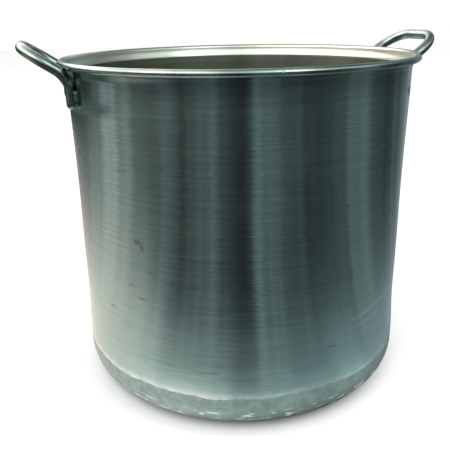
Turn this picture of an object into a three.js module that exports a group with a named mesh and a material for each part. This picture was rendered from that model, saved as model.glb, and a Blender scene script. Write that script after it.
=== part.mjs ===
// Brew kettle: a deep-drawn stainless pot with a rolled rim and two bent-rod loop handles.
//
// Frame: millimetres, +Z up, origin at the centre of the flat bottom. The handles stand on +X
// (right) and -X (left), and "front" is -Y. Each handle is one rod, bent into a loop whose two
// feet are pressed flat against the wall and held by a fillet weld along either side.

import * as THREE from 'three';

// ---- Kettle body, outer sizes ----
const HEIGHT = 358;
const SHEET = 1;              // sheet thickness
const WALL_RADIUS = 183.6;    // below the rim flare
const WAIST_RADIUS = 183.1;   // the drawn wall pulls in a little at this height
const WAIST_HEIGHT = 248;
const BELLY_RADIUS = 184.1;   // and runs nearly upright from this height up
const BELLY_HEIGHT = 110;
const LOW_RADIUS = 186.2;     // where the wall meets the bottom corner
const CORNER_RADIUS = 33.5;   // bottom corner

// ---- Rolled rim ----
const FLARE_HEIGHT = 16;      // the wall starts to open out this far below the top
const CURL_RADIUS = 3.5;      // outside of the curl's round section
const CURL_CENTRE = 188.5;    // the section's centre, from the axis
const CURL_END = -115;        // degrees: the edge stops short of the wall, so the curl stays open

// ---- Handles ----
const ROD_RADIUS = 5.25;
const LEG_OFFSET = 43.5;      // each foot, from the handle's centre plane
const BAR_OFFSET = 45;        // each outer corner, from the handle's centre plane
const REACH = 48.4;           // from the bend to the outer bar, along the loop
const RISE = 33.6;            // degrees that the loop tips up
const BEND_HEIGHT = 344.8;    // where the leg's line crosses the foot's line
const FOOT_END = 314;         // height of the foot's rounded tip
const BEND_RADIUS = 25;
const LOOP_CORNER = 30;
const FOOT_HALF_DEPTH = 4.2;  // the pressed foot, square to the wall
const FOOT_HALF_WIDTH = 6.1;  // the pressed foot, along the wall
const FOOT_TIP = 5;           // length of the rounded tip
const BLUNT_TIP = 0.3;        // the tip's end, as a part of the foot's section
const PRESS_TOP = 345;        // the rod is still round above this height
const PRESS_BOTTOM = 334;     // and fully pressed below this one

// ---- Welds ----
const WELD_TOP = 333;
const WELD_BOTTOM = 318;
const WELD_LEG = 3.3;         // height of the fillet, off the wall
const WELD_TOE = 9.2;         // the fillet's far edge, from the foot's centre line
const WELD_HOLLOW = 0.3;      // how far the fillet's face draws in towards its root

const GAP = 0.3;              // clearance between touching pieces
const TURNED_SEGMENTS = 72;
const CURVE_POINTS = 4;       // on each curve of the shell's outline
const ROD_STEPS = 76;
const ROD_SIDES = 7;          // points on each half of the round section
const WELD_STEPS = 4;         // on each curve of the weld's section

const steel = (color, roughness) =>
  new THREE.MeshStandardMaterial({ color, roughness, metalness: 1 });
const BRUSHED = steel(0x8d948f, 0.34);
const POLISHED = steel(0xa9ada8, 0.16);
const WELD_METAL = steel(0x85857f, 0.42);

const radians = THREE.MathUtils.degToRad;

function named(name, geometry, material) {
  const mesh = new THREE.Mesh(geometry, material);
  mesh.name = name;
  return mesh;
}

// ---- Kettle shell ----

// Runs on to another radius in a gentle S, upright at both ends.
function easeTo(path, radius, height) {
  const from = path.currentPoint;
  const halfWay = (from.y + height) / 2;
  path.bezierCurveTo(from.x, halfWay, radius, halfWay, radius, height);
}

// The middle of the sheet, from the bottom's centre out and up to the curled edge.
function sheetMiddle() {
  const half = SHEET / 2;
  const flatRadius = LOW_RADIUS - CORNER_RADIUS;
  const flareStart = HEIGHT - FLARE_HEIGHT;
  const curlHeight = HEIGHT - CURL_RADIUS;
  const curlInner = CURL_CENTRE - CURL_RADIUS + half;
  const path = new THREE.Path();
  path.moveTo(0, half);
  path.lineTo(flatRadius, half);
  path.absarc(flatRadius, CORNER_RADIUS, CORNER_RADIUS - half, -Math.PI / 2, 0, false);
  easeTo(path, BELLY_RADIUS - half, BELLY_HEIGHT);
  easeTo(path, WAIST_RADIUS - half, WAIST_HEIGHT);
  easeTo(path, WALL_RADIUS - half, flareStart);
  easeTo(path, curlInner, curlHeight);
  path.absarc(CURL_CENTRE, curlHeight, CURL_RADIUS - half, Math.PI, radians(CURL_END), true);
  return path.getPoints(CURVE_POINTS).filter((point, i, all) =>
    i === 0 || point.distanceTo(all[i - 1]) > 1e-6);
}

// One side of the sheet: the middle line moved sideways, with its start kept on the axis.
function sheetSide(middle, distance) {
  return middle.map((point, i) => {
    const before = middle[Math.max(i - 1, 0)];
    const after = middle[Math.min(i + 1, middle.length - 1)];
    const along = after.clone().sub(before).normalize();
    const side = new THREE.Vector2(along.y, -along.x).multiplyScalar(distance).add(point);
    return i === 0 ? side.setX(0) : side;
  });
}

function kettleShell() {
  const middle = sheetMiddle();
  const outside = sheetSide(middle, SHEET / 2);
  const inside = sheetSide(middle, -SHEET / 2).reverse();
  const geometry = new THREE.LatheGeometry([...outside, ...inside], TURNED_SEGMENTS);
  return geometry.rotateX(Math.PI / 2);
}

// ---- Handles, built for the +X side ----

const FOOT_RADIUS = WALL_RADIUS + GAP + FOOT_HALF_DEPTH;
const FOOT_ANGLE = Math.asin(LEG_OFFSET / FOOT_RADIUS);

function footCentre(side, height) {
  const angle = side * FOOT_ANGLE;
  return new THREE.Vector3(FOOT_RADIUS * Math.cos(angle), FOOT_RADIUS * Math.sin(angle), height);
}

// A circular arc that rounds the corner at b between the lines to a and c.
class CornerArc extends THREE.Curve {
  constructor(a, b, c, radius) {
    super();
    const toA = a.clone().sub(b).normalize();
    const toC = c.clone().sub(b).normalize();
    const half = toA.angleTo(toC) / 2;
    this.start = b.clone().addScaledVector(toA, radius / Math.tan(half));
    this.end = b.clone().addScaledVector(toC, radius / Math.tan(half));
    this.centre = toA.add(toC).setLength(radius / Math.sin(half)).add(b);
    this.sweep = Math.PI - 2 * half;
  }

  getPoint(t, target = new THREE.Vector3()) {
    const from = this.start.clone().sub(this.centre);
    const to = this.end.clone().sub(this.centre);
    const whole = Math.sin(this.sweep);
    return target.copy(this.centre)
      .addScaledVector(from, Math.sin((1 - t) * this.sweep) / whole)
      .addScaledVector(to, Math.sin(t * this.sweep) / whole);
  }
}

// The rod's centre line: foot, bend, leg, corner, outer bar, and the same back again.
function loopPath() {
  const rise = radians(RISE);
  const barX = footCentre(1, 0).x + REACH * Math.cos(rise);
  const barZ = BEND_HEIGHT + REACH * Math.sin(rise);
  const corners = [
    footCentre(-1, FOOT_END),
    footCentre(-1, BEND_HEIGHT),
    new THREE.Vector3(barX, -BAR_OFFSET, barZ),
    new THREE.Vector3(barX, BAR_OFFSET, barZ),
    footCentre(1, BEND_HEIGHT),
    footCentre(1, FOOT_END),
  ];
  const radii = [BEND_RADIUS, LOOP_CORNER, LOOP_CORNER, BEND_RADIUS];
  const path = new THREE.CurvePath();
  let last = corners[0];
  radii.forEach((radius, i) => {
    const arc = new CornerArc(corners[i], corners[i + 1], corners[i + 2], radius);
    path.add(new THREE.LineCurve3(last, arc.start));
    path.add(arc);
    last = arc.end;
  });
  path.add(new THREE.LineCurve3(last, corners[5]));
  return path;
}

// Presses the round rod's lower ends flat against the wall and rounds off their tips. Every
// point of the rod belongs to the nearest point of its centre line, and moves towards it.
function pressFeet(rod, centres) {
  const position = rod.attributes.position;
  const point = new THREE.Vector3();
  for (let i = 0; i < position.count; i += 1) {
    point.fromBufferAttribute(position, i);
    const centre = centres.reduce((best, other) =>
      other.distanceToSquared(point) < best.distanceToSquared(point) ? other : best);
    if (centre.z < PRESS_TOP) {
      const along = new THREE.Vector3(-centre.y, centre.x, 0).normalize();
      const offset = point.clone().sub(centre);
      const sideways = along.multiplyScalar(offset.dot(along));
      const depthways = offset.sub(sideways);
      const press = 1 - THREE.MathUtils.smoothstep(centre.z, PRESS_BOTTOM, PRESS_TOP);
      const fromTip = Math.min((centre.z - FOOT_END) / FOOT_TIP, 1);
      const tip = Math.max(Math.sqrt(1 - (1 - fromTip) ** 2), BLUNT_TIP);
      sideways.multiplyScalar(THREE.MathUtils.lerp(1, FOOT_HALF_WIDTH / ROD_RADIUS, press) * tip);
      depthways.multiplyScalar(THREE.MathUtils.lerp(1, FOOT_HALF_DEPTH / ROD_RADIUS, press) * tip);
      point.copy(centre).add(sideways).add(depthways);
      position.setXYZ(i, point.x, point.y, point.z);
    }
  }
  return rod;
}

function handleRod() {
  const path = loopPath();
  const section = new THREE.Shape().absarc(0, 0, ROD_RADIUS, 0, 2 * Math.PI);
  const rod = new THREE.ExtrudeGeometry(section, {
    extrudePath: path, steps: ROD_STEPS, curveSegments: ROD_SIDES,
  });
  return pressFeet(rod, path.getSpacedPoints(ROD_STEPS));
}

// ---- Welds, built at a foot with x out from the wall, y along it and z up ----

function weldBead(side) {
  const footEdge = (height) => {
    const across = (height - GAP - FOOT_HALF_DEPTH) / (FOOT_HALF_DEPTH + GAP);
    return new THREE.Vector2(height, (FOOT_HALF_WIDTH + GAP) * Math.sqrt(1 - across ** 2));
  };
  const rootHeight = 2 * GAP;
  const root = new THREE.Vector2(GAP, footEdge(rootHeight).y);
  const toe = new THREE.Vector2(GAP, WELD_TOE);
  const top = footEdge(WELD_LEG);
  const hollow = top.clone().add(toe).divideScalar(2).lerp(root, WELD_HOLLOW);
  const section = new THREE.Shape([toe, root]);
  for (let step = 0; step <= WELD_STEPS; step += 1) {
    const { x, y } = footEdge(THREE.MathUtils.lerp(rootHeight, WELD_LEG, step / WELD_STEPS));
    section.lineTo(x, y);
  }
  section.quadraticCurveTo(hollow.x, hollow.y, toe.x, toe.y);
  const bead = new THREE.ExtrudeGeometry(section, {
    depth: WELD_TOP - WELD_BOTTOM, bevelEnabled: false, curveSegments: WELD_STEPS,
  });
  if (side < 0) {
    bead.rotateX(Math.PI);
    bead.translate(0, 0, WELD_TOP - WELD_BOTTOM);
  }
  return bead;
}

// ---- Assembly ----

const kettle = new THREE.Group();
kettle.add(named('kettle_shell', kettleShell(), BRUSHED));

const footNames = { '-1': 'front', 1: 'rear' };
const weldNames = { '-1': 'outer', 1: 'inner' };

for (const [handleName, turn] of [['right', 0], ['left', Math.PI]]) {
  const handle = new THREE.Group();
  handle.rotation.z = turn;
  handle.add(named(`handle_${handleName}`, handleRod(), POLISHED));
  for (const footSide of [-1, 1]) {
    // Turning the left handle round swaps its front and rear feet.
    const footName = footNames[turn ? -footSide : footSide];
    for (const weldSide of [-1, 1]) {
      const weldName = weldNames[weldSide * footSide < 0 ? 1 : -1];
      const weld = named(`weld_${handleName}_${footName}_${weldName}`, weldBead(weldSide), WELD_METAL);
      const angle = footSide * FOOT_ANGLE;
      weld.rotation.z = angle;
      weld.position.set(WALL_RADIUS * Math.cos(angle), WALL_RADIUS * Math.sin(angle), WELD_BOTTOM);
      handle.add(weld);
    }
  }
  kettle.add(handle);
}

export default kettle;
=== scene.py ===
"""A stainless brew kettle: the fine surfaces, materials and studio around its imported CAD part.

Metres, +Z up, with the origin at the centre of the kettle's flat bottom. "Front" is -Y, and the
handles stand on +X (right) and -X (left). Angles round the kettle are counted from the front,
positive towards the right handle.
"""

import math

import bpy
from mathutils import Matrix, Vector


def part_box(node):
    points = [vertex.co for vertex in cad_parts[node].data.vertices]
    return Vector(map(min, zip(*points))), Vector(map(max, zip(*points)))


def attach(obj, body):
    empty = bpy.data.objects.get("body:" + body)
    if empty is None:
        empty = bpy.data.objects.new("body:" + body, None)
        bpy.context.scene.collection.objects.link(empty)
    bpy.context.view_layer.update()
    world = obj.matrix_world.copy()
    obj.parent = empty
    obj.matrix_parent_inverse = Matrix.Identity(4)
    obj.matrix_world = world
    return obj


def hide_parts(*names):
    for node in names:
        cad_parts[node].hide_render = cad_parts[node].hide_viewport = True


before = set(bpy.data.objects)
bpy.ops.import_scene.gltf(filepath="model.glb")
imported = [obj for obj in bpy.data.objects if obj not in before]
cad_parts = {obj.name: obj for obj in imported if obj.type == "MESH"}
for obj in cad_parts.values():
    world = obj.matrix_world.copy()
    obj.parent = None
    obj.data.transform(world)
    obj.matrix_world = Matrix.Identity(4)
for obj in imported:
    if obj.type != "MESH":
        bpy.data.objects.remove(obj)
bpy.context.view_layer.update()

MM = 0.001
QUARTER_TURN = math.pi / 2

# ---- Kettle body ----
shell_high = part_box("kettle_shell")[1]
HEIGHT = shell_high.z
SHEET = 1 * MM
WALL_RADIUS = 183.6 * MM
WAIST_RADIUS = 183.1 * MM
WAIST_HEIGHT = 248 * MM
BELLY_RADIUS = 184.1 * MM
BELLY_HEIGHT = 110 * MM
LOW_RADIUS = 186.2 * MM
CORNER_RADIUS = 33.5 * MM
FLARE_HEIGHT = 16 * MM
CURL_RADIUS = 3.5 * MM
CURL_CENTRE = shell_high.x - CURL_RADIUS
CURL_END = math.radians(-115)
AROUND = 288                  # segments round the kettle

# ---- Handles ----
ROD_RADIUS = 5.25 * MM
LEG_OFFSET = 43.5 * MM
BAR_OFFSET = 45 * MM
REACH = 48.4 * MM
RISE = math.radians(33.6)
BEND_HEIGHT = 344.8 * MM
BEND_RADIUS = 25 * MM
LOOP_CORNER = 30 * MM
FOOT_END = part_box("handle_right")[0].z
FOOT_HALF_DEPTH = 4.2 * MM
FOOT_HALF_WIDTH = 6.1 * MM
FOOT_TIP = 5 * MM
BLUNT_TIP = 0.2
PRESS_TOP = 345 * MM
PRESS_BOTTOM = 334 * MM
FOOT_RADIUS = WALL_RADIUS + FOOT_HALF_DEPTH
FOOT_ANGLE = math.asin(LEG_OFFSET / FOOT_RADIUS)

# ---- Welds ----
WELD_LEG = 3.3 * MM
WELD_TOE = 9.2 * MM
RIPPLE_PITCH = 1.7 * MM
RIPPLE_DEPTH = 0.03           # as a share of the bead's size
WELD_END = 0.12               # a bead's size at its ends, as a share of its full size
WELD_SINK = 0.3 * MM          # how far a bead runs into the foot, and its root into the wall
TOE_SINK = 0.05 * MM          # how far its face is let into the wall
ROOT_INSET = 0.5 * MM         # how far its root lies in from the foot's side, and off the wall

# ---- Camera, set from the kettle's axis and rim ----
CAMERA_ANGLE = math.radians(-17.3)      # from the front, towards the left handle
CAMERA_DISTANCE = 647 * MM
CAMERA_ABOVE_RIM = 40.5 * MM
CAMERA_TILT = math.radians(-20.42)
CAMERA_TURN = math.radians(-1.55)
CAMERA_ROLL = math.radians(-1.1)
CAMERA_LENS = 45.36                   # millimetres, as is the sensor's width
CAMERA_SENSOR = 36


# ================= Mesh helpers =================

def make_object(name, vertices, faces, materials, face_materials=None):
    mesh = bpy.data.meshes.new(name)
    mesh.from_pydata([tuple(v) for v in vertices], [], faces)
    for material in materials:
        mesh.materials.append(material)
    if face_materials:
        mesh.polygons.foreach_set("material_index", face_materials)
    mesh.polygons.foreach_set("use_smooth", [True] * len(faces))
    mesh.validate()
    obj = bpy.data.objects.new(name, mesh)
    bpy.context.scene.collection.objects.link(obj)
    return obj


def smooth_step(value, low, high):
    t = min(max((value - low) / (high - low), 0), 1)
    return t * t * (3 - 2 * t)


def mix(a, b, t):
    return a + (b - a) * t


# ================= Kettle shell =================

def arc_points(centre, radius, start, end, steps):
    angles = [mix(start, end, i / steps) for i in range(1, steps + 1)]
    return [Vector((centre[0] + radius * math.cos(a), centre[1] + radius * math.sin(a)))
            for a in angles]


def ease_points(start, radius, height, steps):
    """A gentle S from start to another radius and height, upright at both ends."""
    half_way = (start.y + height) / 2
    points = []
    for i in range(1, steps + 1):
        t = i / steps
        across = t * t * (3 - 2 * t)
        up = (1 - t) ** 3 * start.y + 3 * t * (1 - t) * half_way + t ** 3 * height
        points.append(Vector((mix(start.x, radius, across), up)))
    return points


def sheet_middle():
    """The middle of the sheet as (radius, height), from the bottom's centre to the curled edge,
    and how many of its points come before the flare and before the curl."""
    half = SHEET / 2
    flat_radius = LOW_RADIUS - CORNER_RADIUS
    flare_start = HEIGHT - FLARE_HEIGHT
    curl_height = HEIGHT - CURL_RADIUS
    curl_inner = CURL_CENTRE - CURL_RADIUS + half
    flat_steps = 16
    points = [Vector((flat_radius * i / flat_steps, half)) for i in range(flat_steps + 1)]
    corner = (flat_radius, CORNER_RADIUS)
    points += arc_points(corner, CORNER_RADIUS - half, -QUARTER_TURN, 0, 22)
    points += ease_points(points[-1], BELLY_RADIUS - half, BELLY_HEIGHT, 18)
    points += ease_points(points[-1], WAIST_RADIUS - half, WAIST_HEIGHT, 20)
    points += ease_points(points[-1], WALL_RADIUS - half, flare_start, 18)
    before_flare = len(points)
    points += ease_points(points[-1], curl_inner, curl_height, 14)
    before_curl = len(points)
    points += arc_points((CURL_CENTRE, curl_height), CURL_RADIUS - half, math.pi, CURL_END, 30)
    return points, before_flare, before_curl


def sheet_side(middle, distance):
    side = []
    for i, point in enumerate(middle):
        along = middle[min(i + 1, len(middle) - 1)] - middle[max(i - 1, 0)]
        along.normalize()
        side.append(point + distance * Vector((along.y, -along.x)))
    side[0].x = 0
    return side


def drawn_unevenness(angle, height):
    """How far the wall stands off its true radius, in the slow waves that deep drawing leaves."""
    fade = smooth_step(height, 0.03, 0.09) * (1 - smooth_step(height, 0.27, 0.325))
    waves = (0.16 * math.sin(3 * angle + 0.7 + 5 * height)
             + 0.10 * math.sin(5 * angle + 2.1 - 16 * height)
             + 0.07 * math.sin(9 * angle + 27 * height)
             + 0.05 * math.sin(2 * angle - 44 * height))
    return waves * MM * fade


def kettle_pot():
    middle, before_flare, before_curl = sheet_middle()
    outside = sheet_side(middle, SHEET / 2)
    inside = sheet_side(middle, -SHEET / 2)
    loop = outside + inside[::-1]
    # The rim's bright finish runs over the curl and down the flare's inner face.
    rim_rows = range(before_curl - 1, 2 * len(middle) - before_flare - 2)
    vertices = []
    rings = []
    for point in loop:
        if point.x < 1e-9:
            rings.append([len(vertices)] * AROUND)
            vertices.append((0, 0, point.y))
            continue
        rings.append(list(range(len(vertices), len(vertices) + AROUND)))
        for step in range(AROUND):
            angle = 2 * math.pi * step / AROUND
            radius = point.x + drawn_unevenness(angle, point.y)
            vertices.append((radius * math.sin(angle), -radius * math.cos(angle), point.y))
    faces = []
    face_materials = []
    for row in range(len(loop) - 1):
        lower, upper = rings[row], rings[row + 1]
        side = 2 if row in rim_rows else 0 if row < len(middle) else 1
        for step in range(AROUND):
            after = (step + 1) % AROUND
            corners = [lower[step], lower[after], upper[after], upper[step]]
            faces.append(list(dict.fromkeys(corners)))
            face_materials.append(side)
    materials = [brushed_outside(), brushed_inside(), rim_steel()]
    pot = make_object("kettle_pot", vertices, faces, materials, face_materials)
    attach(pot, "root")
    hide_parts("kettle_shell")


# ================= Handles =================

def foot_centre(side, height):
    angle = side * FOOT_ANGLE
    return Vector((FOOT_RADIUS * math.cos(angle), FOOT_RADIUS * math.sin(angle), height))


def loop_points(spacing):
    """Points along the right handle's centre line, from foot to foot."""
    bar_x = foot_centre(1, 0).x + REACH * math.cos(RISE)
    bar_z = BEND_HEIGHT + REACH * math.sin(RISE)
    corners = [
        foot_centre(-1, FOOT_END),
        foot_centre(-1, BEND_HEIGHT),
        Vector((bar_x, -BAR_OFFSET, bar_z)),
        Vector((bar_x, BAR_OFFSET, bar_z)),
        foot_centre(1, BEND_HEIGHT),
        foot_centre(1, FOOT_END),
    ]
    radii = [BEND_RADIUS, LOOP_CORNER, LOOP_CORNER, BEND_RADIUS]
    points = [corners[0]]

    def run_to(end):
        start = points[-1]
        steps = max(1, round((end - start).length / spacing))
        points.extend(start.lerp(end, i / steps) for i in range(1, steps + 1))

    for before, corner, after, radius in zip(corners, corners[1:], corners[2:], radii):
        back = (before - corner).normalized()
        on = (after - corner).normalized()
        half = back.angle(on) / 2
        start = corner + back * radius / math.tan(half)
        centre = corner + (back + on).normalized() * radius / math.sin(half)
        end = corner + on * radius / math.tan(half)
        run_to(start)
        sweep = math.pi - 2 * half
        steps = max(4, round(sweep * radius / spacing))
        for i in range(1, steps + 1):
            part = sweep * i / steps
            spoke = ((start - centre) * math.sin(sweep - part) + (end - centre) * math.sin(part))
            points.append(centre + spoke / math.sin(sweep))
    run_to(corners[-1])
    return points


def pressed(point, centre):
    """A point of the round rod, moved to where pressing the foot flat leaves it."""
    if centre.z > PRESS_TOP or centre.x > FOOT_RADIUS + PRESS_TOP - FOOT_END:
        return point
    along = Vector((-centre.y, centre.x, 0)).normalized()
    offset = point - centre
    sideways = along * offset.dot(along)
    depthways = offset - sideways
    press = 1 - smooth_step(centre.z, PRESS_BOTTOM, PRESS_TOP)
    from_tip = min((centre.z - FOOT_END) / FOOT_TIP, 1)
    tip = max(math.sqrt(max(0, 1 - (1 - from_tip) ** 2)), BLUNT_TIP)
    sideways *= mix(1, FOOT_HALF_WIDTH / ROD_RADIUS, press) * tip
    depthways *= mix(1, FOOT_HALF_DEPTH / ROD_RADIUS, press) * tip
    return centre + sideways + depthways


def handle_rod(name, turned):
    centres = loop_points(1.4 * MM)
    sides = 32
    window = 12                # how many rings either way are searched for the nearest centre
    across = Vector((0, 1, 0))
    vertices = []
    for i, centre in enumerate(centres):
        tangent = (centres[min(i + 1, len(centres) - 1)] - centres[max(i - 1, 0)]).normalized()
        across = (across - tangent * across.dot(tangent)).normalized()
        up = tangent.cross(across)
        for k in range(sides):
            turn = 2 * math.pi * k / sides
            spoke = across * math.cos(turn) + up * math.sin(turn)
            round_point = centre + spoke * ROD_RADIUS
            nearest = min(centres[max(i - window, 0):i + window + 1],
                          key=lambda c: (c - round_point).length_squared)
            vertices.append(pressed(round_point, nearest if centre.z < PRESS_TOP else centre))
    faces = []
    for i in range(len(centres) - 1):
        for k in range(sides):
            after = (k + 1) % sides
            faces.append([i * sides + k, i * sides + after,
                          (i + 1) * sides + after, (i + 1) * sides + k])
    faces.append(list(range(sides))[::-1])
    last = (len(centres) - 1) * sides
    faces.append(list(range(last, last + sides)))
    if turned:
        vertices = [Vector((-v.x, -v.y, v.z)) for v in vertices]
    rod = make_object(name + "_rod", vertices, faces, [polished_rod()])
    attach(rod, "root")
    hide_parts(name)


# ================= Welds =================

def foot_edge(height):
    """How far the pressed foot reaches sideways at a height off the wall."""
    across = (height - FOOT_HALF_DEPTH) / FOOT_HALF_DEPTH
    return FOOT_HALF_WIDTH * math.sqrt(1 - across * across)


def weld_bead(node, foot_angle, side):
    """A rippled fillet between the wall and one side of a foot."""
    low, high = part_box(node)
    rows = 60
    section = 9
    vertices = []
    for row in range(rows + 1):
        t = row / rows
        z = mix(low.z, high.z, t)
        ends = (1 - abs(2 * t - 1) ** 5) ** 0.5
        ripple = 1 + RIPPLE_DEPTH * math.cos(2 * math.pi * (z - low.z) / RIPPLE_PITCH)
        size = max(WELD_END, ends * ripple)
        leg = WELD_LEG * size
        toe = mix(foot_edge(WELD_LEG / 2), WELD_TOE, size)
        inner = foot_edge(max(leg, WELD_SINK)) - WELD_SINK
        for k in range(section + 1):
            # A shallow convex face, from the toe on the wall up to the foot.
            part = QUARTER_TURN * k / section
            out = leg * (0.82 * k / section + 0.18 * math.sin(part))
            sideways = mix(toe, inner, 0.75 * k / section + 0.25 * (1 - math.cos(part)))
            vertices.append((out - TOE_SINK, sideways))
        vertices.append((-WELD_SINK, foot_edge(ROOT_INSET) - ROOT_INSET))
    ring = section + 2
    points = []
    for i, (out, sideways) in enumerate(vertices):
        z = mix(low.z, high.z, (i // ring) / rows)
        across = side * sideways
        radius = math.sqrt(max(WALL_RADIUS ** 2 - across ** 2, 0)) + out
        x = radius * math.cos(foot_angle) - across * math.sin(foot_angle)
        y = radius * math.sin(foot_angle) + across * math.cos(foot_angle)
        points.append(Vector((x, y, z)))
    faces = []
    for row in range(rows):
        for k in range(ring):
            after = (k + 1) % ring
            face = [row * ring + k, row * ring + after,
                    (row + 1) * ring + after, (row + 1) * ring + k]
            faces.append(face if side > 0 else face[::-1])
    bottom = list(range(ring))[::-1]
    top = [rows * ring + k for k in range(ring)]
    faces += [bottom, top] if side > 0 else [bottom[::-1], top[::-1]]
    bead = make_object(node + "_bead", points, faces, [weld_metal()])
    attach(bead, "root")
    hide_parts(node)


def welds():
    for handle, half_turn in (("right", 0), ("left", math.pi)):
        for foot_side in (-1, 1):
            front = foot_side * (1 if handle == "right" else -1) < 0
            for side in (-1, 1):
                inner = side * foot_side < 0
                node = "weld_{}_{}_{}".format(
                    handle, "front" if front else "rear", "inner" if inner else "outer")
                weld_bead(node, half_turn + foot_side * FOOT_ANGLE, side)


# ================= Material helpers =================

class Nodes:
    """Builds a node tree. Each method adds a node and returns its output socket."""

    def __init__(self, tree):
        self.tree = tree

    def add(self, kind, **settings):
        node = self.tree.nodes.new(kind)
        for key, value in settings.items():
            setattr(node, key, value)
        return node

    def feed(self, socket, value):
        if isinstance(value, bpy.types.NodeSocket):
            self.tree.links.new(value, socket)
        elif isinstance(value, (tuple, list)) and len(value) == 3 and socket.type == "RGBA":
            socket.default_value = (*value, 1)
        else:
            socket.default_value = value

    def math(self, operation, *values):
        node = self.add("ShaderNodeMath", operation=operation)
        for socket, value in zip(node.inputs, values):
            self.feed(socket, value)
        return node.outputs[0]

    def vector(self, x, y, z):
        node = self.add("ShaderNodeCombineXYZ")
        for socket, value in zip(node.inputs, (x, y, z)):
            self.feed(socket, value)
        return node.outputs[0]

    def noise(self, vector, scale=1.0, detail=2.0, roughness=0.5):
        node = self.add("ShaderNodeTexNoise")
        self.feed(node.inputs["Vector"], vector)
        self.feed(node.inputs["Scale"], scale)
        self.feed(node.inputs["Detail"], detail)
        self.feed(node.inputs["Roughness"], roughness)
        return node.outputs["Fac"]

    def span(self, value, low, high, to_low=0.0, to_high=1.0):
        """Maps low..high smoothly to to_low..to_high."""
        node = self.add("ShaderNodeMapRange", interpolation_type="SMOOTHSTEP")
        for socket, number in zip(node.inputs, (value, low, high, to_low, to_high)):
            self.feed(socket, number)
        return node.outputs[0]

    def blend(self, factor, a, b, kind="MIX"):
        node = self.add("ShaderNodeMix", data_type="RGBA", blend_type=kind)
        self.feed(node.inputs["Factor"], factor)
        self.feed(node.inputs["A"], a)
        self.feed(node.inputs["B"], b)
        return node.outputs["Result"]

    def ramp(self, value, stops):
        node = self.add("ShaderNodeValToRGB")
        ramp = node.color_ramp
        ramp.interpolation = "EASE"
        while len(ramp.elements) < len(stops):
            ramp.elements.new(0.5)
        for element, (place, level) in zip(ramp.elements, stops):
            element.position = place
            element.color = (level, level, level, 1)
        self.feed(node.inputs[0], value)
        return node.outputs[0]


class Steel(Nodes):
    """A metal material with the coordinates that the kettle's finishes are drawn in."""

    def __init__(self, name, **constants):
        self.material = bpy.data.materials.new(name)
        self.material.use_nodes = True
        super().__init__(self.material.node_tree)
        self.shader = self.tree.nodes["Principled BSDF"]
        self.shader.inputs["Metallic"].default_value = 1
        for key, value in constants.items():
            self.shader.inputs[key.replace("_", " ").title()].default_value = value
        place = self.add("ShaderNodeTexCoord").outputs["Object"]
        split = self.add("ShaderNodeSeparateXYZ")
        self.feed(split.inputs[0], place)
        self.place = place
        self.x, self.y, self.z = split.outputs
        self.radius = self.math("SQRT", self.math(
            "ADD", self.math("MULTIPLY", self.x, self.x), self.math("MULTIPLY", self.y, self.y)))
        self.angle = self.math("ARCTAN2", self.x, self.math("MULTIPLY", self.y, -1))
        # Runs across the brush lines, on the wall and over the corner onto the bottom alike.
        self.across = self.math("ADD", self.z, self.radius)

    def lines(self, length, width, detail, shift=0.0):
        """Noise drawn out round the kettle: length and width of its streaks, in metres."""
        long_scale = 1 / length
        vector = self.vector(
            self.math("MULTIPLY", self.x, long_scale), self.math("MULTIPLY", self.y, long_scale),
            self.math("MULTIPLY_ADD", self.across, 1 / width, shift))
        return self.noise(vector, detail=detail)

    def patches(self, around, up, detail, roughness):
        """Noise in patches that lie level: how many to a metre round the kettle, and up it."""
        vector = self.vector(
            self.math("MULTIPLY", self.x, around), self.math("MULTIPLY", self.y, around),
            self.math("MULTIPLY", self.z, up))
        return self.noise(vector, 1.0, detail, roughness)

    def clouds(self, size, detail=3.0):
        return self.noise(self.place, 1 / size, detail, 0.55)

    def swayed(self, amount):
        """The surface's normal, swung to and fro round the kettle from brush line to brush line."""
        streaks = self.lines(22 * MM, 2.2 * MM, 3.0, 23.0)
        swing = self.math("MULTIPLY", self.math("SUBTRACT", streaks, 0.5), amount)
        swing = self.math("DIVIDE", swing, self.math("MAXIMUM", self.radius, 1 * MM))
        push = self.vector(self.math("MULTIPLY", self.math("MULTIPLY", self.y, -1), swing),
                           self.math("MULTIPLY", self.x, swing), 0.0)
        added = self.add("ShaderNodeVectorMath", operation="ADD")
        self.feed(added.inputs[0], self.add("ShaderNodeNewGeometry").outputs["Normal"])
        self.feed(added.inputs[1], push)
        unit = self.add("ShaderNodeVectorMath", operation="NORMALIZE")
        self.feed(unit.inputs[0], added.outputs[0])
        return unit.outputs[0]

    def finish(self, colour, roughness, height, depth, normal=None):
        """Ends the material: its relief is height, from 0 to 1, over a depth in metres."""
        self.feed(self.shader.inputs["Base Color"], colour)
        self.feed(self.shader.inputs["Roughness"], roughness)
        bump = self.add("ShaderNodeBump")
        self.feed(bump.inputs["Height"], height)
        bump.inputs["Distance"].default_value = depth
        if normal is not None:
            self.feed(bump.inputs["Normal"], normal)
        self.feed(self.shader.inputs["Normal"], bump.outputs[0])
        return self.material


# ================= Materials =================

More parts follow.
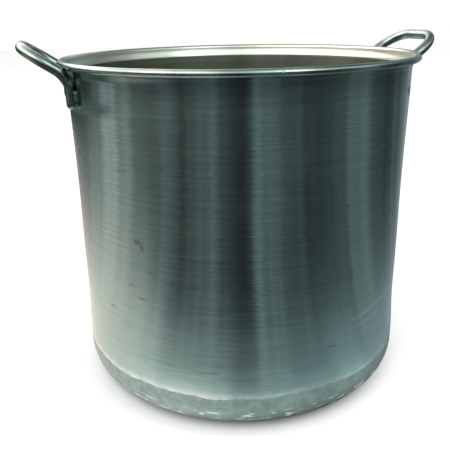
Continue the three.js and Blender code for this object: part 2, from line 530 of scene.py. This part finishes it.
STEEL_PALE = (0.53, 0.70, 0.665)
STEEL_DEEP = (0.37, 0.54, 0.52)
STEEL_DARK = (0.28, 0.42, 0.41)
# Painted shade: the colour the wall is darkened to just under the flare.
PAINTED_SHADE_BELOW_CURL = (0.16, 0.235, 0.225)
RUB_DARK = (0.13, 0.18, 0.17)
SCRATCH_PALE = (0.78, 0.9, 0.88)
TIDE_PALE = (0.76, 0.89, 0.84)
SCALE_WHITE = (0.60, 0.71, 0.67)
STAIN_GREY = (0.21, 0.295, 0.275)
STAIN_PALE = (0.275, 0.375, 0.35)
# Painted contact shadow: the dark of the thin line along the very bottom.
CONTACT_SHADOW_DARK = (0.07, 0.1, 0.09)
# The inside's own dull, brownish-grey steel, with painted shade: both are far darker than the
# outside's steel.
INSIDE_DULL_SHADED = (0.145, 0.175, 0.15)
INSIDE_PALE_SHADED = (0.175, 0.205, 0.172)
CURL_DEEP = (0.30, 0.40, 0.375)
CURL_PALE = (0.40, 0.50, 0.47)
CURL_SMEAR = (0.20, 0.29, 0.27)
FLARE_SATIN = (0.70, 0.77, 0.70)
ROD_DEEP = (0.29, 0.39, 0.365)
ROD_PALE = (0.38, 0.49, 0.46)
ROD_WORN = (0.17, 0.24, 0.225)
# Painted shade: the colour the legs darken to towards the feet.
ROD_PAINTED_SHADE = (0.13, 0.19, 0.175)
WELD_GREY = (0.05, 0.078, 0.072)
WELD_TINT = (0.045, 0.06, 0.053)

# Heights at which the finishes and the painted shade change. A pair runs from where a finish or a
# shade starts to its strongest.
TIDE_HEIGHT = 44.5 * MM        # top of the matte, stained band round the bottom corner
HAZE_TOP = 105 * MM
SCALE_FROM_ABOVE = (31 * MM, 25 * MM)
SCALE_FROM_BELOW = (12 * MM, 18 * MM)
CONTACT_SHADOW_HEIGHTS = (7 * MM, 4 * MM)
# Painted shade below the curl, from where it starts to its darkest.
BELOW_CURL_SHADE_HEIGHTS = (318 * MM, 347 * MM)
# Painted shade on the rod, from where it starts to its darkest.
LEG_SHADE_HEIGHTS = (374 * MM, 352 * MM)
# Radii between which the rim's curl gives way to the flare inside it.
FLARE_INSIDE = (CURL_CENTRE - 2 * MM, CURL_CENTRE - 3.2 * MM)

# Short dark rubs on the wall: angle in degrees, height, half length round the wall, half width.
RUBS = (
    (-48.9, 199 * MM, 4.5 * MM, 3.2 * MM),
    (-47.2, 194 * MM, 2.5 * MM, 4.5 * MM),
    (-44.1, 170 * MM, 5.0 * MM, 0.7 * MM),
    (-48.6, 140 * MM, 5.0 * MM, 0.8 * MM),
    (-52.5, 152 * MM, 4.0 * MM, 0.6 * MM),
    (-25.1, 72 * MM, 7.0 * MM, 0.9 * MM),
    (-27.5, 72 * MM, 12.0 * MM, 0.4 * MM),
    (-63.0, 118 * MM, 6.0 * MM, 0.7 * MM),
    (12.0, 88 * MM, 6.0 * MM, 0.6 * MM),
    (131.0, 150 * MM, 8.0 * MM, 0.8 * MM),
    (-142.0, 205 * MM, 6.0 * MM, 0.9 * MM),
)
# Pale scratches and smears: from one (angle, height) to another, half width, strength.
SCRATCHES = (
    ((17.0, 108 * MM), (48.0, 119 * MM), 3.5 * MM, 0.4),
    ((21.0, 99 * MM), (36.0, 105 * MM), 1.6 * MM, 0.3),
    ((38.0, 110 * MM), (60.0, 134 * MM), 2.5 * MM, 0.35),
    ((-87.0, 268 * MM), (-72.0, 262 * MM), 1.1 * MM, 0.6),
    ((-84.0, 277 * MM), (-66.0, 268 * MM), 0.9 * MM, 0.45),
    ((160.0, 140 * MM), (172.0, 160 * MM), 1.1 * MM, 0.6),
)


def rub_marks(steel):
    total = 0.0
    for degrees, height, half_length, half_width in RUBS:
        off = steel.math("ABSOLUTE", steel.math("SUBTRACT", steel.angle, math.radians(degrees)))
        along = steel.math("MULTIPLY", off, WALL_RADIUS / half_length)
        rise = steel.math("ABSOLUTE", steel.math("SUBTRACT", steel.z, height))
        up = steel.math("MULTIPLY", rise, 1 / half_width)
        reach = steel.math("ADD", steel.math("POWER", along, 2.0), steel.math("POWER", up, 2.0))
        total = steel.math("ADD", total, steel.span(reach, 1.6, 0.1))
    return steel.math("MINIMUM", total, 1.0)


def scratch_marks(steel):
    total = 0.0
    for (start, low), (end, high), half_width, strength in SCRATCHES:
        degrees = steel.math("MULTIPLY", steel.angle, 180 / math.pi)
        part = steel.math("MULTIPLY_ADD", degrees, 1 / (end - start), -start / (end - start))
        height = steel.math("MULTIPLY_ADD", part, high - low, low)
        off = steel.math("ABSOLUTE", steel.math("SUBTRACT", steel.z, height))
        line = steel.span(off, half_width, 0.2 * half_width)
        middle = steel.math("ABSOLUTE", steel.math("SUBTRACT", part, 0.5))
        total = steel.math("ADD", total, steel.math(
            "MULTIPLY", line, steel.span(middle, 0.52, 0.2, 0.0, strength)))
    return steel.math("MINIMUM", total, 1.0)


def brushed_outside():
    steel = Steel("brushed_outside", anisotropic=0.8, anisotropic_rotation=0.25)
    fine = steel.lines(70 * MM, 1.4 * MM, 3.0)
    hair = steel.lines(26 * MM, 0.5 * MM, 2.0, 7.0)
    clouds = steel.clouds(60 * MM)
    grain = steel.clouds(3 * MM, 2.0)

    # The stained band: matte, mottled and edged by a tide line that runs a little unevenly.
    slow = steel.math("MULTIPLY", steel.math("SUBTRACT", steel.clouds(55 * MM, 1.0), 0.5), 7 * MM)
    quick = steel.math("MULTIPLY", steel.math("SUBTRACT", steel.clouds(8 * MM, 5.0), 0.5), 4 * MM)
    level = steel.math("SUBTRACT", steel.z, steel.math("ADD", slow, quick))
    band = steel.span(level, TIDE_HEIGHT + 0.5 * MM, TIDE_HEIGHT - 0.5 * MM)
    above = steel.math("SUBTRACT", 1.0, band)
    edge = steel.math("MULTIPLY", steel.span(level, TIDE_HEIGHT + 9 * MM, TIDE_HEIGHT), above)
    edge = steel.math("MULTIPLY", edge, steel.span(steel.clouds(17 * MM), 0.35, 0.65, 0.4, 1.0))
    # Pale haze above it, in ragged smears that lie along the brush lines.
    haze = steel.span(steel.patches(16, 55, 4.0, 0.65), 0.47, 0.62)
    haze = steel.math("MULTIPLY", haze, steel.span(level, HAZE_TOP, TIDE_HEIGHT))
    haze = steel.math("MULTIPLY", haze, above)
    patches = steel.span(steel.patches(70, 260, 3.0, 0.6), 0.54, 0.60)
    low_part = steel.math("MULTIPLY", steel.span(steel.z, *SCALE_FROM_ABOVE),
                          steel.span(steel.z, *SCALE_FROM_BELOW))
    scale = steel.math("MULTIPLY", patches, low_part)
    # Painted contact shadow: a thin dark line round the very bottom, where the kettle meets the
    # floor.
    painted_contact_shadow = steel.span(steel.z, *CONTACT_SHADOW_HEIGHTS)

    rubs = rub_marks(steel)
    scratches = scratch_marks(steel)
    # Painted shade: the wall darkens upwards to just under the flare, where the curl shades it.
    painted_shade_below_curl = steel.span(steel.z, *BELOW_CURL_SHADE_HEIGHTS, 0.0, 0.6)
    colour = steel.blend(steel.span(fine, 0.3, 0.7, 0.0, 0.4), STEEL_DEEP, STEEL_PALE)
    colour = steel.blend(steel.span(hair, 0.55, 0.8, 0.0, 0.5), colour, STEEL_DARK)
    colour = steel.blend(painted_shade_below_curl, colour, PAINTED_SHADE_BELOW_CURL)
    colour = steel.blend(steel.math("MULTIPLY", rubs, 0.85), colour, RUB_DARK)
    colour = steel.blend(scratches, colour, SCRATCH_PALE)
    colour = steel.blend(steel.math("MULTIPLY", haze, 0.4), colour, STEEL_PALE)
    colour = steel.blend(edge, colour, TIDE_PALE)
    mottled = steel.blend(
        steel.span(steel.clouds(14 * MM), 0.35, 0.65), STAIN_GREY, STAIN_PALE)
    mottled = steel.blend(steel.span(grain, 0.4, 0.7, 0.0, 0.12), mottled, SCALE_WHITE)
    colour = steel.blend(band, colour, mottled)
    colour = steel.blend(steel.math("MULTIPLY", scale, 0.85), colour, SCALE_WHITE)
    colour = steel.blend(steel.math("MULTIPLY", painted_contact_shadow, 0.85), colour, CONTACT_SHADOW_DARK)

    rough = steel.math("ADD", 0.125, steel.math("MULTIPLY", fine, 0.06))
    rough = steel.math("ADD", rough, steel.span(clouds, 0.4, 0.7, 0.0, 0.03))
    marks = steel.math("ADD", rubs, scratches)
    rough = steel.math("ADD", rough, steel.math("MULTIPLY", marks, 0.2))
    rough = steel.math("ADD", rough, steel.math("MULTIPLY", edge, 0.1))
    rough = steel.math("ADD", rough, steel.math("MULTIPLY", haze, 0.12))
    rough = steel.math("ADD", rough, steel.math("MULTIPLY", band, 0.2))
    metal = steel.math("SUBTRACT", 1.0, steel.math(
        "MAXIMUM", steel.math("MULTIPLY", band, 0.3), steel.math("MULTIPLY", scale, 0.7)))
    steel.feed(steel.shader.inputs["Metallic"], metal)
    relief = steel.math("ADD", fine, steel.math("MULTIPLY", scale, 2.0))
    relief = steel.math("ADD", relief, steel.math("MULTIPLY", band, grain))
    return steel.finish(colour, rough, relief, 0.02 * MM, steel.swayed(0.075))


def brushed_inside():
    steel = Steel("brushed_inside", anisotropic=0.5, anisotropic_rotation=0.25)
    fine = steel.lines(120 * MM, 1.1 * MM, 3.0, 3.0)
    clouds = steel.clouds(45 * MM)
    # Partly the inside's own dull, brownish-grey tone and partly painted shade, for the shade
    # inside the pot.
    colour = steel.blend(steel.span(clouds, 0.35, 0.65), INSIDE_DULL_SHADED, INSIDE_PALE_SHADED)
    colour = steel.blend(steel.span(fine, 0.3, 0.7, 0.0, 0.1), colour, STEEL_PALE)
    rough = steel.math("ADD", 0.28, steel.math("MULTIPLY", fine, 0.08))
    rough = steel.math("ADD", rough, steel.span(clouds, 0.45, 0.7, 0.0, 0.06))
    return steel.finish(colour, rough, fine, 0.03 * MM)


def rim_steel():
    steel = Steel("rim_steel", anisotropic=0.3, anisotropic_rotation=0.25)
    fine = steel.lines(50 * MM, 0.5 * MM, 2.0, 11.0)
    nicks = steel.span(steel.clouds(4 * MM, 2.0), 0.62, 0.74)
    smears = steel.span(steel.clouds(38 * MM), 0.42, 0.6)
    # The flare inside the curl is paler and more satin than the curl.
    flare = steel.span(steel.radius, *FLARE_INSIDE)
    curl = steel.blend(steel.span(fine, 0.3, 0.7), CURL_DEEP, CURL_PALE)
    curl = steel.blend(steel.math("MULTIPLY", smears, 0.55), curl, CURL_SMEAR)
    colour = steel.blend(flare, curl, FLARE_SATIN)
    colour = steel.blend(steel.math("MULTIPLY", nicks, 0.3), colour, STEEL_DARK)
    rough = steel.math("ADD", 0.18, steel.math("MULTIPLY", fine, 0.08))
    rough = steel.math("ADD", rough, steel.math("MULTIPLY", nicks, 0.15))
    rough = steel.math("ADD", rough, steel.math("MULTIPLY", flare, 0.12))
    return steel.finish(colour, rough, fine, 0.015 * MM)


def polished_rod():
    steel = Steel("polished_rod")
    drawn = steel.clouds(9 * MM, 4.0)
    wear = steel.span(steel.clouds(22 * MM), 0.45, 0.7)
    colour = steel.blend(steel.span(drawn, 0.35, 0.65), ROD_DEEP, ROD_PALE)
    colour = steel.blend(steel.math("MULTIPLY", wear, 0.45), colour, ROD_WORN)
    # Painted shade: the rod darkens towards the feet, for the darker reflections the legs show low
    # down.
    painted_leg_shade = steel.span(steel.z, *LEG_SHADE_HEIGHTS, 0.0, 0.45)
    colour = steel.blend(painted_leg_shade, colour, ROD_PAINTED_SHADE)
    rough = steel.math("ADD", 0.14, steel.math("MULTIPLY", drawn, 0.1))
    rough = steel.math("ADD", rough, steel.math("MULTIPLY", wear, 0.08))
    return steel.finish(colour, rough, drawn, 0.02 * MM)


def weld_metal():
    steel = Steel("weld_metal")
    tint = steel.span(steel.clouds(5 * MM), 0.4, 0.65)
    spatter = steel.clouds(0.8 * MM, 2.0)
    colour = steel.blend(tint, WELD_GREY, WELD_TINT)
    colour = steel.blend(steel.span(spatter, 0.5, 0.75, 0.0, 0.08), colour, STEEL_PALE)
    rough = steel.math("ADD", 0.32, steel.math("MULTIPLY", spatter, 0.15))
    return steel.finish(colour, rough, spatter, 0.06 * MM)


# ================= Studio =================

# What the polished surfaces mirror, as brightness at angles round the kettle from the camera's
# side, positive to the right: the far room, the bench close to the kettle, and the space above.
ROOM = (
    (-180, 0.12), (-160, 0.34), (-141, 0.2), (-130, 0.12), (-117, 0.12), (-104, 0.2),
    (-91, 0.38), (-80, 0.37), (-70, 0.22), (-60, 0.11), (-50, 0.12), (-42, 0.14), (-33, 0.065),
    (-22, 0.125), (-14, 0.14), (-8, 0.07), (0, 0.03), (5, 0.032), (12, 0.19), (19, 0.155),
    (26, 0.085), (34, 0.07), (44, 0.055), (54, 0.055), (68, 0.14), (80, 0.19), (95, 0.09),
    (108, 0.06), (122, 0.12), (140, 0.26), (160, 0.46), (180, 0.12),
)
BENCH = (
    (-180, 0.9), (-131, 0.95), (-100, 0.98), (-81, 0.94), (-65, 0.95), (-49, 1.0), (-41, 1.05),
    (-24, 1.15), (-9, 0.95), (0, 0.6), (16, 0.6), (28, 0.5), (41, 0.5), (50, 0.6),
    (57, 0.55), (68, 0.42), (85, 0.38), (100, 0.4), (131, 0.48), (180, 0.9),
)
OVERHEAD = (
    (-180, 0.6), (-150, 1.4), (-120, 1.7), (-100, 2.0), (-80, 1.8), (-68, 1.5), (-55, 2.0),
    (-34, 1.75), (-20, 1.45), (0, 0.72), (18, 1.3), (36, 2.0), (47, 1.4), (58, 0.58), (80, 0.6),
    (100, 0.24), (130, 0.12), (160, 0.2), (180, 0.6),
)
# How far the bright part of the bench reaches out from the wall.
BENCH_REACH = (
    (-180, 470 * MM), (-110, 450 * MM), (-85, 420 * MM), (-60, 270 * MM), (-48, 150 * MM),
    (-38, 80 * MM), (-20, 58 * MM), (10, 62 * MM), (40, 90 * MM), (60, 105 * MM), (90, 180 * MM),
    (120, 270 * MM), (150, 430 * MM), (180, 470 * MM),
)
ZENITH = (0.5, 0.5, 0.5)
LOW_WINDOWS = (1.9, 1.9, 1.9)
HIGH_WINDOWS = (0.85, 0.85, 0.85)
COOL = (0.88, 1.0, 1.04)
SOFT = (1.08, 1.0, 0.96)
WARM = (1.18, 1.0, 0.91)
CREAM = (1.22, 1.04, 0.94)
PALE_GREEN = (1.02, 1.05, 0.99)
ROOM_RADIUS = 6.0
BENCH_HALF = 1.2 * ROOM_RADIUS
FLOOR_HALF = 12.0
FLOOR_WHITE = (0.93, 0.935, 0.93)
FLOOR_PALE = (0.95, 0.95, 0.95)
FLAG_HEIGHT = FOOT_END - 8 * MM
FLAG_INNER = WALL_RADIUS + 4 * MM
FLAG_OUTER = WALL_RADIUS + 95 * MM
FLAG_FADE = 15 * MM
LEFT_FLAG_HALF_WIDTH = 110 * MM
RIGHT_FLAG_HALF_WIDTH = 55 * MM
FLAG_DARK = (0.12, 0.14, 0.13)
SHADOW_DARK = (0.02, 0.02, 0.02)
FAR_DARK = (0.045, 0.05, 0.05)
WORLD_LEVEL = 1.07


class Glow(Nodes):
    """An emission material that is drawn by the angle round the kettle, from the camera's side."""

    def __init__(self, name):
        self.material = bpy.data.materials.new(name)
        self.material.use_nodes = True
        super().__init__(self.material.node_tree)
        self.tree.nodes.clear()
        self.place = self.add("ShaderNodeTexCoord").outputs["Object"]
        split = self.add("ShaderNodeSeparateXYZ")
        self.feed(split.inputs[0], self.place)
        self.x, self.y, self.z = split.outputs
        turn = self.math("ARCTAN2", self.x, self.math("MULTIPLY", self.y, -1))
        self.turn = self.math("MULTIPLY", turn, 180 / math.pi)
        self.share = self.math("MULTIPLY_ADD", self.turn, 1 / 360, 0.5)

    def around(self, stops, scale=1.0):
        """A value that runs through (degrees, value) stops round the kettle."""
        levels = [(degrees / 360 + 0.5, value / scale) for degrees, value in stops]
        return self.math("MULTIPLY", self.ramp(self.share, levels), scale)

    def stripes(self):
        """A factor about one, with the narrow upright lights and darks of a cluttered room."""
        across = self.vector(self.math("MULTIPLY", self.turn, 0.16), 0.0, 0.0)
        return self.span(self.noise(across, 1.0, 2.0, 0.7), 0.3, 0.7, 0.55, 1.45)

    def tinted(self, colour, tint):
        return self.blend(1.0, colour, tint, "MULTIPLY")

    def shine(self, colour, cover=None):
        """Ends the material, see-through where cover is given and falls short of one."""
        glow = self.add("ShaderNodeEmission")
        self.feed(glow.inputs["Color"], colour)
        out = self.add("ShaderNodeOutputMaterial")
        if cover is None:
            self.feed(out.inputs["Surface"], glow.outputs[0])
            return self.material
        mixer = self.add("ShaderNodeMixShader")
        clear = self.add("ShaderNodeBsdfTransparent")
        for socket, value in zip(mixer.inputs, (cover, clear.outputs[0], glow.outputs[0])):
            self.feed(socket, value)
        self.feed(out.inputs["Surface"], mixer.outputs[0])
        return self.material


def mirrored_only(obj, turn=CAMERA_ANGLE):
    """Turns a stage object, by default with the camera, and leaves it to mirror-like rays."""
    obj.rotation_euler = (0, 0, turn)
    obj.visible_camera = False
    obj.visible_diffuse = False
    obj.visible_shadow = False
    obj.visible_transmission = False


def level_square(name, half, material):
    """A square on the ground plane, whose sides are twice half."""
    corners = [(-half, -half, 0), (half, -half, 0), (half, half, 0), (-half, half, 0)]
    return make_object(name, corners, [[0, 1, 2, 3]], [material])


def mirrored_room():
    glow = Glow("mirrored_room")
    direction = glow.add("ShaderNodeVectorMath", operation="NORMALIZE")
    glow.feed(direction.inputs[0], glow.place)
    split = glow.add("ShaderNodeSeparateXYZ")
    glow.feed(split.inputs[0], direction.outputs[0])
    elevation = glow.math("MULTIPLY", glow.math("ARCSINE", split.outputs[2]), 180 / math.pi)
    overhead = glow.tinted(glow.around(OVERHEAD, 3.0), glow.blend(
        glow.span(glow.turn, -50.0, 20.0), CREAM, PALE_GREEN))
    # The windows' light is strongest low down.
    overhead = glow.tinted(overhead, glow.blend(
        glow.span(elevation, 30.0, 55.0), LOW_WINDOWS, HIGH_WINDOWS))
    overhead = glow.blend(glow.span(elevation, 50.0, 85.0), overhead, ZENITH)
    room = glow.tinted(glow.math("MULTIPLY", glow.around(ROOM, 2.0), glow.stripes()), COOL)
    material = glow.shine(glow.blend(glow.span(elevation, 12.0, 27.0), room, overhead))

    bands = 16
    rings = 48
    vertices = []
    for i in range(bands + 1):
        height = QUARTER_TURN * i / bands
        for k in range(rings):
            turn = 2 * math.pi * k / rings
            vertices.append((ROOM_RADIUS * math.cos(height) * math.sin(turn),
                             -ROOM_RADIUS * math.cos(height) * math.cos(turn),
                             ROOM_RADIUS * math.sin(height)))
    faces = [[i * rings + k, i * rings + (k + 1) % rings,
              (i + 1) * rings + (k + 1) % rings, (i + 1) * rings + k]
             for i in range(bands) for k in range(rings)]
    mirrored_only(make_object("mirrored_room", vertices, faces, [material]))


def mirrored_bench():
    glow = Glow("mirrored_bench")
    out = glow.math("SQRT", glow.math(
        "ADD", glow.math("MULTIPLY", glow.x, glow.x), glow.math("MULTIPLY", glow.y, glow.y)))
    from_wall = glow.math("SUBTRACT", out, WALL_RADIUS)
    past_near = glow.math("MAXIMUM", glow.math("SUBTRACT", from_wall, 60 * MM), 0.0)
    reach = glow.around(BENCH_REACH)
    near = glow.math("EXPONENT", glow.math("MULTIPLY", glow.math("DIVIDE", past_near, reach), -1))
    close = glow.span(near, 0.0, 0.5, 0.3, 1.0)
    close = glow.math("MULTIPLY", close, glow.span(glow.turn, -180.0, -155.0))
    tint = glow.blend(glow.math("MULTIPLY", glow.span(glow.turn, 30.0, -30.0), close), COOL, SOFT)
    tint = glow.blend(glow.math("MULTIPLY", glow.span(glow.turn, -35.0, -75.0), close), tint, WARM)
    far = glow.math("MULTIPLY", glow.around(ROOM, 2.0), glow.stripes())
    # Something dark stands far off on the left.
    dark = glow.math("MULTIPLY", glow.span(from_wall, 1.1, 1.9), glow.math(
        "MULTIPLY", glow.span(glow.turn, -92.0, -112.0), glow.span(glow.turn, -166.0, -156.0)))
    far = glow.blend(dark, far, FAR_DARK)
    level = glow.blend(near, far, glow.around(BENCH, 2.0))
    # The kettle's own shadow darkens the bench at its foot, and reaches further on the right.
    shadow = glow.span(glow.turn, -10.0, 30.0, 12 * MM, 38 * MM)
    lit = glow.span(glow.math("SUBTRACT", from_wall, shadow), -34 * MM, 6 * MM)
    level = glow.blend(lit, SHADOW_DARK, level)
    material = glow.shine(glow.tinted(level, tint))
    mirrored_only(level_square("mirrored_bench", BENCH_HALF, material))


def handle_flag(side, half_width):
    """A dark, soft-edged card under a handle: it keeps the bench's glare off the rod."""
    glow = Glow("flag")
    off_middle = glow.math("ABSOLUTE", glow.y)
    cover = glow.math("MULTIPLY", glow.span(off_middle, half_width, 0.5 * half_width),
                      glow.span(glow.math("ABSOLUTE", glow.x), FLAG_INNER, FLAG_INNER + FLAG_FADE))
    material = glow.shine(FLAG_DARK, cover)
    inner, outer = side * FLAG_INNER, side * FLAG_OUTER
    corners = [(inner, -half_width, FLAG_HEIGHT), (outer, -half_width, FLAG_HEIGHT),
               (outer, half_width, FLAG_HEIGHT), (inner, half_width, FLAG_HEIGHT)]
    name = "flag_left" if side < 0 else "flag_right"
    card = make_object(name, corners, [[0, 1, 2, 3]], [material])
    mirrored_only(card, turn=0)


def floor():
    material = bpy.data.materials.new("studio_floor")
    material.use_nodes = True
    nodes = Nodes(material.node_tree)
    shader = material.node_tree.nodes["Principled BSDF"]
    place = nodes.add("ShaderNodeTexCoord").outputs["Object"]
    nodes.feed(shader.inputs["Base Color"], nodes.blend(
        nodes.noise(place, 3.0), FLOOR_WHITE, FLOOR_PALE))
    shader.inputs["Roughness"].default_value = 0.9
    ground = level_square("studio_floor", FLOOR_HALF, material)
    ground.visible_glossy = False


def soft_light(name, place, size, watts):
    light = bpy.data.lights.new(name, "AREA")
    light.size = size
    light.energy = watts
    lamp = bpy.data.objects.new(name, light)
    lamp.location = place
    lamp.rotation_euler = (-Vector(place)).to_track_quat("-Z", "Y").to_euler()
    lamp.visible_glossy = False
    bpy.context.scene.collection.objects.link(lamp)


def studio():
    floor()
    mirrored_room()
    mirrored_bench()
    handle_flag(-1, LEFT_FLAG_HALF_WIDTH)
    handle_flag(1, RIGHT_FLAG_HALF_WIDTH)
    soft_light("key_light", place=(-1.2, -1.4, 2.4), size=2.0, watts=28)
    soft_light("fill_light", place=(1.6, -0.8, 2.0), size=2.0, watts=16)
    world = bpy.data.worlds.new("pale_world")
    world.use_nodes = True
    background = world.node_tree.nodes["Background"]
    background.inputs["Color"].default_value = (1, 1, 1, 1)
    background.inputs["Strength"].default_value = WORLD_LEVEL
    bpy.context.scene.world = world
    bpy.context.scene.view_settings.view_transform = "Standard"


def camera():
    data = bpy.data.cameras.new("camera")
    data.lens = CAMERA_LENS
    data.sensor_width = CAMERA_SENSOR
    data.clip_start = 0.01
    seat = bpy.data.objects.new("camera", data)
    place = Vector((math.sin(CAMERA_ANGLE), -math.cos(CAMERA_ANGLE), 0)) * CAMERA_DISTANCE
    place.z = HEIGHT + CAMERA_ABOVE_RIM
    aim = (Matrix.Rotation(CAMERA_ANGLE - CAMERA_TURN, 4, "Z")
           @ Matrix.Rotation(QUARTER_TURN + CAMERA_TILT, 4, "X")
           @ Matrix.Rotation(CAMERA_ROLL, 4, "Z"))
    seat.matrix_world = Matrix.Translation(place) @ aim
    bpy.context.scene.collection.objects.link(seat)
    bpy.context.scene.camera = seat


camera()
kettle_pot()
handle_rod("handle_right", turned=False)
handle_rod("handle_left", turned=True)
welds()
studio()
